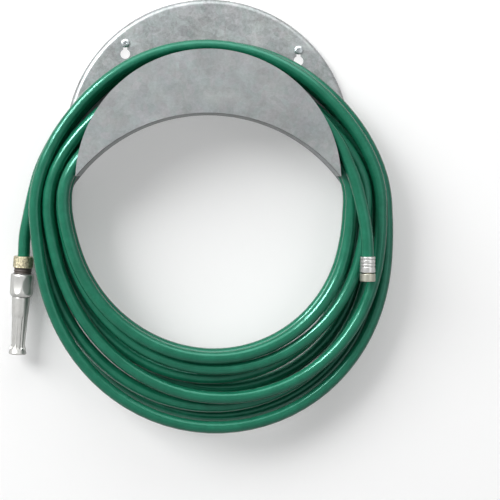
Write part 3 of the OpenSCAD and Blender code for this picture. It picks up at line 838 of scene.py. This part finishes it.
def tube_mesh(name, path, radius, sides):
    """A closed tube along a path in metres, with its length and turn as texture coordinates."""
    mesh = bpy.data.meshes.new(name)
    build = bmesh.new()
    layer = build.loops.layers.uv.new("UVMap")
    up = Vector((0, 1, 0))
    rings, travelled = [], [0.0]
    for i, point in enumerate(path):
        ahead = path[min(i + 1, len(path) - 1)] - path[max(i - 1, 0)]
        side = ahead.cross(up).normalized()
        rise = side.cross(ahead).normalized()
        ring = []
        for k in range(sides):
            angle = TURN * k / sides
            across = side * math.cos(angle) + rise * math.sin(angle)
            ring.append(build.verts.new(point + across * radius))
        rings.append(ring)
        if i:
            travelled.append(travelled[-1] + (point - path[i - 1]).length)
    for i in range(len(path) - 1):
        for k in range(sides):
            j = (k + 1) % sides
            corners = (rings[i][k], rings[i][j], rings[i + 1][j], rings[i + 1][k])
            face = build.faces.new(corners)
            places = ((i, k), (i, k + 1), (i + 1, k + 1), (i + 1, k))
            for loop, (row, column) in zip(face.loops, places):
                loop[layer].uv = (travelled[row], column / sides)
    build.faces.new(rings[0][::-1])
    build.faces.new(rings[-1])
    bmesh.ops.recalc_face_normals(build, faces=build.faces)
    build.to_mesh(mesh)
    build.free()
    smooth(mesh)
    return mesh


class HOLDER_OT_camera(bpy.types.Operator):
    """Sets the camera at the photograph's angle"""

    bl_idname = "holder.camera"
    bl_label = "Camera"

    def execute(self, context):
        studio = context.scene.holder_studio
        data = bpy.data.cameras.new("camera")
        data.lens = studio.lens
        data.sensor_width = 36.0
        data.shift_x, data.shift_y = LENS_SHIFT
        camera = bpy.data.objects.new("camera", data)
        camera.location = world(LENS_POINT) - Vector((0, studio.camera_distance, 0))
        camera.rotation_euler = (math.pi / 2, 0, 0)
        context.collection.objects.link(camera)
        context.scene.camera = camera
        return {"FINISHED"}


class HOLDER_OT_hose(bpy.types.Operator):
    """Winds the hose on the saddle, with its two free ends"""

    bl_idname = "holder.hose"
    bl_label = "Hose"

    def execute(self, context):
        shapes = context.scene.holder_shapes
        route, length = evenly([world(p) for p in hose_route()], shapes.hose_step)
        mesh = tube_mesh("garden_hose", route, HOSE_R * MM, shapes.hose_sides)
        hose = add_piece(
            "garden_hose", mesh, "hose_green", "root",
            "hose_coil", "hose_nozzle_tail", "hose_tap_tail",
        )
        return {"FINISHED"}


class HOLDER_OT_sheet_metal(bpy.types.Operator):
    """Finishes the back plate, the saddle and the front plate"""

    bl_idname = "holder.sheet_metal"
    bl_label = "Sheet metal"

    def execute(self, context):
        for node in ("back_plate", "saddle", "front_plate"):
            dress(node, "zinc_steel")
        return {"FINISHED"}


class HOLDER_OT_wall_screws(bpy.types.Operator):
    """Makes the two wall screws with their cross recesses and threads"""

    bl_idname = "holder.wall_screws"
    bl_label = "Wall screws"

    def execute(self, context):
        pitch = context.scene.holder_shapes.thread_pitch / MM
        steps = 12
        outline = []
        for k in range(steps + 1):
            angle = math.pi / 2 * k / steps
            rise = 0.45 + 0.55 * math.cos(angle) ** 1.4
            outline.append((HEAD_R * math.sin(angle), HEAD_H * rise))
        outline += [(HEAD_R - 0.3, 0), (SCREW_NECK_R, 0), (SCREW_NECK_R, WALL_Z - 1)]
        outline += [(THREAD_CORE_R, THREAD_Z), (THREAD_CORE_R, POINT_LEN - SCREW_LEN)]
        outline += [(POINT_R, -SCREW_LEN), (0, -SCREW_LEN)]
        profile = divided(outline, 0.4)

        def threaded(angle, r, z):
            if z >= THREAD_Z:
                return r
            ridge = 1 - abs((z / pitch - angle / TURN) % 1 - 0.5) / THREAD_RIDGE
            taper = min(1, (z + SCREW_LEN) / POINT_LEN)
            return r + max(0, ridge) * (THREAD_R - THREAD_CORE_R) * taper

        both = bmesh.new()
        for x, z in SCREWS:
            place = Matrix.Translation(world((x, BACK_FACE_Y, z)))
            place = place @ Matrix.Rotation(SCREW_TURN, 4, "Y")
            place = place @ Matrix.Rotation(math.pi / 2, 4, "X")
            screw = turned("screw", profile, place, 40, threaded)
            both.from_mesh(carved(screw, cross_recess(place)))
        mesh = bpy.data.meshes.new("fine_wall_screws")
        both.to_mesh(mesh)
        both.free()
        smooth(mesh, 30.0)
        add_piece("fine_wall_screws", mesh, "screw_zinc", "root", "wall_screws")
        return {"FINISHED"}


class HOLDER_OT_tap_end(bpy.types.Operator):
    """Turns the crimped ferrule and the swivelling nut"""

    bl_idname = "holder.tap_end"
    bl_label = "Tap end"

    def execute(self, context):
        groove_r, edge = FERRULE_R - 0.9, 0.5
        outside = []
        for low, high in FERRULE_RINGS:
            outside += [(groove_r, low)] if low else []
            outside += [(FERRULE_R - edge, low), (FERRULE_R, low + edge)]
            outside += [(FERRULE_R, high - edge), (FERRULE_R - edge, high)]
            outside += [(groove_r, high)] if high < FERRULE_LEN else []
        inside = [(NECK_R + 0.05, FERRULE_LEN), (NECK_R + 0.05, TAP_SEAT + 0.2)]
        inside += [(HOSE_HOLE_R, TAP_SEAT + 0.2), (HOSE_HOLE_R, 0)]
        ferrule = turned("fine_tap_ferrule", rounded(outside + inside, 0.3), AT_TAP, 96)
        add_piece("fine_tap_ferrule", ferrule, "bright_nickel", "root", "tap_ferrule")
        end_z, web_z = TAP_NUT_Z + TAP_NUT_LEN, FERRULE_LEN + 3.7
        bore_r, bevel = NECK_R + 0.3, 0.6
        nut = rounded(
            [
                (bore_r, TAP_NUT_Z), (TAP_NUT_R - bevel, TAP_NUT_Z),
                (TAP_NUT_R, TAP_NUT_Z + bevel), (TAP_NUT_R, end_z - bevel),
                (TAP_NUT_R - bevel, end_z), (TAP_THREAD_R, end_z),
                (TAP_THREAD_R, web_z), (bore_r, web_z),
            ],
            0.3,
        )
        mesh = turned("fine_tap_nut", divided(nut, 1.5), AT_TAP, 96)
        add_piece("fine_tap_nut", mesh, "olive_nickel", "tap_swivel", "tap_nut")
        dress("tap_insert", "raw_brass")
        dress("tap_washer", "black_rubber")
        return {"FINISHED"}


class HOLDER_OT_coupling(bpy.types.Operator):
    """Makes the knurled nut, the rubber guard and the scooped release collar"""

    bl_idname = "holder.coupling"
    bl_label = "Coupling"

    def execute(self, context):
        self.clamp_nut(context.scene.holder_shapes.knurl_count)
        self.guard_ring()
        self.release_collar()
        for node, slot in (
            ("coupling_body", "satin_chrome"), ("lock_balls", "ball_steel"),
            ("stop_ring", "ball_steel"), ("collar_spring", "ball_steel"),
        ):
            dress(node, slot)
        return {"FINISHED"}

    @staticmethod
    def clamp_nut(count):
        lean, margin = count / (2 * CLAMP_R), 1.2
        inner_r, seat_z = SHOULDER_R - 0.8, HOSE_SEAT + 0.3
        profile = rounded(
            [
                (HOSE_HOLE_R, 0), (CLAMP_R - 1, 0), (CLAMP_R, 1), (CLAMP_R, CLAMP_LEN - 1),
                (CLAMP_R - 1, CLAMP_LEN), (inner_r, CLAMP_LEN), (inner_r, seat_z),
                (HOSE_HOLE_R, seat_z),
            ],
            0.4,
        )

        def knurled(angle, r, z):
            if r < CLAMP_R - 0.4 or not margin < z < CLAMP_LEN - margin:
                return r
            first = abs(math.sin(count / 2 * angle + lean * z))
            second = abs(math.sin(count / 2 * angle - lean * z))
            return r - KNURL_DEPTH * (1 - min(first, second))

        mesh = turned("fine_clamp_nut", divided(profile, 0.42), AT_NOZZLE, count * 6, knurled, 35.0)
        add_piece("fine_clamp_nut", mesh, "raw_brass", "root", "clamp_nut")

    @staticmethod
    def guard_ring():
        steps, ribs, depth, edge = 24, 2, 0.45, 0.4
        bore_r, end_z = SHOULDER_R + 0.05, GUARD_Z + GUARD_LEN
        profile = [(bore_r, GUARD_Z), (GUARD_R - edge, GUARD_Z)]
        for k in range(steps + 1):
            r = GUARD_R - depth + depth * math.cos(TURN * ribs * k / steps)
            profile.append((r, GUARD_Z + edge + (GUARD_LEN - 2 * edge) * k / steps))
        profile += [(GUARD_R - edge, end_z), (bore_r, end_z)]
        mesh = turned("fine_guard_ring", profile, AT_NOZZLE, 96)
        add_piece("fine_guard_ring", mesh, "black_rubber", "root", "guard_ring")

    @staticmethod
    def release_collar():
        end_z, ledge_end_z = COLLAR_Z + COLLAR_LEN, LEDGE_Z + LEDGE_LEN
        middle_z = (COLLAR_Z + end_z) / 2 - 0.5
        profile = rounded(
            [
                (COLLAR_BORE_R, COLLAR_Z), (COLLAR_R - 1.6, COLLAR_Z),
                (COLLAR_R - 0.4, COLLAR_Z + 0.8), (COLLAR_R, COLLAR_Z + 2.2),
                (COLLAR_R, end_z - 4.5), (COLLAR_R - 0.5, end_z - 3), (COLLAR_R - 2.6, end_z),
                (RELIEF_R, end_z), (RELIEF_R, ledge_end_z), (LEDGE_R, ledge_end_z),
                (LEDGE_R, LEDGE_Z), (COLLAR_BORE_R, LEDGE_Z),
            ],
            0.5,
        )

        def scooped(angle, r, z):
            step = TURN / FACETS
            aside = (angle - (FIRST_FACET - 0.5) * step) % step - step / 2
            bulge = math.sqrt(SCOOP_R**2 - (z - middle_z) ** 2)
            flat = COLLAR_R - FACET_DEPTH + SCOOP_R - bulge
            return min(r, flat / math.cos(aside))

        mesh = turned("fine_release_collar", divided(profile, 0.8), AT_NOZZLE, 240, scooped, 12.0)
        add_piece("fine_release_collar", mesh, "satin_chrome", "collar", "release_collar")
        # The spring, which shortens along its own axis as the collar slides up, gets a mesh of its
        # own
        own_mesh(frame["nodes"]["collar_spring"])


class HOLDER_OT_nozzle(bpy.types.Operator):
    """Makes the fluted twist sleeve with its flared mouth"""

    bl_idname = "holder.nozzle"
    bl_label = "Nozzle"

    def execute(self, context):
        flutes = context.scene.holder_shapes.flute_count
        outside = [
            (SLEEVE_BORE_R, SLEEVE_Z), (SLEEVE_TOP_R - 0.6, SLEEVE_Z),
            (SLEEVE_TOP_R, SLEEVE_Z + 0.9), (SLEEVE_TOP_R - 1, GRIP_Z - 5.3),
            (GRIP_R, GRIP_Z + 0.7), (WAIST_R, WAIST_Z), (WAIST_R - 0.1, WAIST_Z + 2),
            (WAIST_R + 0.3, WAIST_Z + 5), (MOUTH_R - 1.6, WAIST_Z + 10),
            (MOUTH_R - 0.4, WAIST_Z + 14), (MOUTH_R, MOUTH_Z - 1.4), (MOUTH_R - 0.5, MOUTH_Z),
        ]
        inside = [
            (MOUTH_R - 2, MOUTH_Z), (THROAT_R, THROAT_Z + 6), (THROAT_R, THROAT_Z),
            (NECK_R + 0.5, THROAT_Z - 1.2), (NECK_R + 0.5, STEM_END_Z + 4),
            (SLEEVE_BORE_R, STEM_END_Z + 1), (SLEEVE_BORE_R, SEAL_Z + 0.8),
            (SEAL_R, SEAL_Z + 0.8), (SEAL_R, SEAL_Z - 0.8), (SLEEVE_BORE_R, SEAL_Z - 0.8),
        ]
        top_r = GRIP_R + 0.35
        lean = (top_r - WAIST_R) / (WAIST_Z - GRIP_Z)

        def fluted(angle, r, z):
            past = max(GRIP_Z - z, z - FLUTE_END_Z, 0)
            if past >= FLUTE_R:
                return r
            step = TURN / flutes
            aside = (angle + step / 2) % step - step / 2
            centre = top_r - FLUTE_DEPTH + FLUTE_R - lean * (z - GRIP_Z)
            reach = FLUTE_R**2 - past**2 - (centre * math.sin(aside)) ** 2
            if reach <= 0:
                return r
            return min(r, centre * math.cos(aside) - math.sqrt(reach))

        profile = divided(rounded(outside + inside, 1.2), 1.0)
        mesh = turned("fine_twist_sleeve", profile, AT_NOZZLE, flutes * 18, fluted, 30.0)
        add_piece("fine_twist_sleeve", mesh, "satin_chrome", "sleeve", "twist_sleeve")
        for node, slot in (
            ("nozzle_body", "satin_chrome"), ("plug_oring", "black_rubber"),
            ("spray_pin", "raw_brass"), ("sleeve_oring", "black_rubber"),
        ):
            dress(node, slot)
        return {"FINISHED"}


class HOLDER_OT_stage(bpy.types.Operator):
    """Sets up the wall, the floor, the surroundings and the lamps"""

    bl_idname = "holder.stage"
    bl_label = "Stage"

    def execute(self, context):
        finish, studio = context.scene.holder_finish, context.scene.holder_studio
        wall = self.plane("wall", (0, WALL_GAP, 0), math.pi / 2, WALL_SIZE)
        floor = self.plane("floor", FLOOR_PLACE, 0, FLOOR_SIZE)
        for piece, glow in ((wall, studio.wall_glow), (floor, studio.floor_glow)):
            piece.data.materials.append(self.backdrop(piece.name, finish.wall, glow))
            piece.visible_diffuse = False
            piece.visible_glossy = piece is wall
            piece.visible_shadow = False
        self.surroundings(studio.sky)
        key = self.lamp("key", (-4.6, -3.6, 3.0), (4.2, 3.4), studio.key_power)
        key.visible_glossy = False
        self.lamp("fill", (1.8, -2.4, -0.3), (1.6, 1.6), studio.fill_power)
        self.lamp("top", (0.2, -1.1, 2.2), (3.0, 1.6), studio.top_power)
        sheen = self.lamp("sheen", (0.0, -1.0, 1.6), (3.4, 2.0), studio.sheen_power)
        sheen.visible_diffuse = False
        strip = self.lamp("strip", (-1.9, -1.9, 1.3), (0.35, 1.1), studio.strip_power)
        strip.visible_diffuse = False
        back = self.lamp("back", (1.6, 2.4, 0.9), (2.4, 2.0), studio.back_power)
        lit = bpy.data.collections.new("lit from behind")
        lit.objects.link(frame["nodes"]["back_plate"])
        back.light_linking.receiver_collection = lit
        context.scene.view_settings.view_transform = "Standard"
        return {"FINISHED"}

    @staticmethod
    def plane(name, location, tilt, size):
        """A square that faces up, or the viewer when it is tilted."""
        mesh = bpy.data.meshes.new(name)
        half = size / 2
        turn = Matrix.Translation(location) @ Matrix.Rotation(tilt, 4, "X")
        corners = [(-half, -half, 0), (half, -half, 0), (half, half, 0), (-half, half, 0)]
        mesh.from_pydata([turn @ Vector(corner) for corner in corners], [], [(0, 1, 2, 3)])
        piece = bpy.data.objects.new(name, mesh)
        bpy.context.collection.objects.link(piece)
        return piece

    @staticmethod
    def backdrop(name, colour, glow):
        """Plain pale paint that keeps soft shadows, with painted shade close to the holder and
        painted light behind the keyholes, and is seen from its front only.
        """
        p = Paint(f"pale {name} paint")
        place = p.place()
        shade = p.mix(p.noise(place, 3.0, 2.0, 0.5) * 0.04, rgba(colour), rgba(colour, 0.9))
        # Painted shade: the wall's colour and glow are darkened where the holder and the hose hide
        # it closely
        near = p.node(
            "ShaderNodeAmbientOcclusion", {"samples": 8}, {"Distance": 0.06}, out="AO"
        )
        near = p.ramp(near, (0.12, 0.12), (0.42, 1.0))
        bright = near * glow
        # Painted light: a glowing patch on the wall behind each keyhole's entry makes it show
        # bright through it
        for x, z in SCREWS:
            entry = world((x, 0, z - ENTRY_DROP))
            away = p.node(
                "ShaderNodeVectorMath", {"operation": "DISTANCE"}, {0: place, 1: entry},
                out="Value",
            )
            bright = bright + p.ramp(away * 30.0, (0.3, 0.8), (0.45, 0.0))
        dark = (0, 0, 0, 1)
        glow_with_painted_light = p.mix(bright, dark, (1, 1, 1, 1))
        # The wall's colour carries the same painted shade
        matt = p.node("ShaderNodeBsdfDiffuse", None, {"Color": p.mix(near, dark, shade)})
        lit = p.node("ShaderNodeEmission", None, {"Color": p.mix(p.seen(), dark, glow_with_painted_light)})
        front = p.node("ShaderNodeAddShader", None, {0: matt, 1: lit})
        clear = p.node("ShaderNodeBsdfTransparent")
        back = p.node("ShaderNodeNewGeometry", out="Backfacing")
        both = p.node("ShaderNodeMixShader", None, {0: back, 1: front, 2: clear})
        p.node("ShaderNodeOutputMaterial", None, {0: both})
        return p.material

    @staticmethod
    def surroundings(strength):
        """White to the eye and in reflections; soft light, more from the upper left."""
        sky = bpy.data.worlds.new("studio")
        bpy.context.scene.world = sky
        p = Paint("studio", sky)
        x, _, z = p.axes(p.node("ShaderNodeTexCoord", out="Generated"))
        side = 0.5 - x * 0.30 + z * 0.28
        bright = p.ramp(side, (0.12, 0.12), (0.5, 0.7), (0.9, 1.0))
        light = p.node("ShaderNodeBackground", None, {0: bright, 1: strength})
        white = p.node("ShaderNodeBackground", None, {0: (1, 1, 1, 1), 1: 1.0})
        both = p.node("ShaderNodeMixShader", None, {0: p.seen(), 1: light, 2: white})
        p.node("ShaderNodeOutputWorld", None, {0: both})

    @staticmethod
    def lamp(name, location, size, power):
        """A soft lamp that shines on the middle of the holder."""
        data = bpy.data.lights.new(name, "AREA")
        data.shape = "RECTANGLE"
        data.size, data.size_y = size
        data.energy = power
        lamp = bpy.data.objects.new(name, data)
        lamp.location = location
        aim = Vector(LAMP_AIM) - Vector(location)
        lamp.rotation_euler = aim.to_track_quat("-Z", "Y").to_euler()
        lamp.visible_camera = False
        bpy.context.collection.objects.link(lamp)
        return lamp


class HOLDER_PT_panel(bpy.types.Panel):
    """The holder's sizes, finishes and steps"""

    bl_label = "Hose Holder"
    bl_idname = "HOLDER_PT_panel"
    bl_space_type = "VIEW_3D"
    bl_region_type = "UI"
    bl_category = "Hose Holder"

    def draw(self, context):
        layout, scene = self.layout, context.scene
        for group in (scene.holder_finish, scene.holder_shapes, scene.holder_studio):
            box = layout.box()
            for name in group.bl_rna.properties.keys():
                if name not in {"rna_type", "name"}:
                    box.prop(group, name)
        for step in STEPS:
            layout.operator(step.bl_idname)


STEPS = (
    HOLDER_OT_camera,
    HOLDER_OT_tap_end,
    HOLDER_OT_coupling,
    HOLDER_OT_nozzle,
    HOLDER_OT_hose,
    HOLDER_OT_sheet_metal,
    HOLDER_OT_wall_screws,
    HOLDER_OT_stage,
)
CLASSES = (HolderFinish, HolderShapes, HolderStudio) + STEPS + (HOLDER_PT_panel,)


def register():
    for cls in CLASSES:
        bpy.utils.register_class(cls)
    bpy.types.Scene.holder_finish = bpy.props.PointerProperty(type=HolderFinish)
    bpy.types.Scene.holder_shapes = bpy.props.PointerProperty(type=HolderShapes)
    bpy.types.Scene.holder_studio = bpy.props.PointerProperty(type=HolderStudio)


def unregister():
    del bpy.types.Scene.holder_studio
    del bpy.types.Scene.holder_shapes
    del bpy.types.Scene.holder_finish
    for cls in reversed(CLASSES):
        bpy.utils.unregister_class(cls)


def main():
    register()
    for step in STEPS:
        group, name = step.bl_idname.split(".")
        getattr(getattr(bpy.ops, group), name)()


if __name__ == "__main__":
    main()
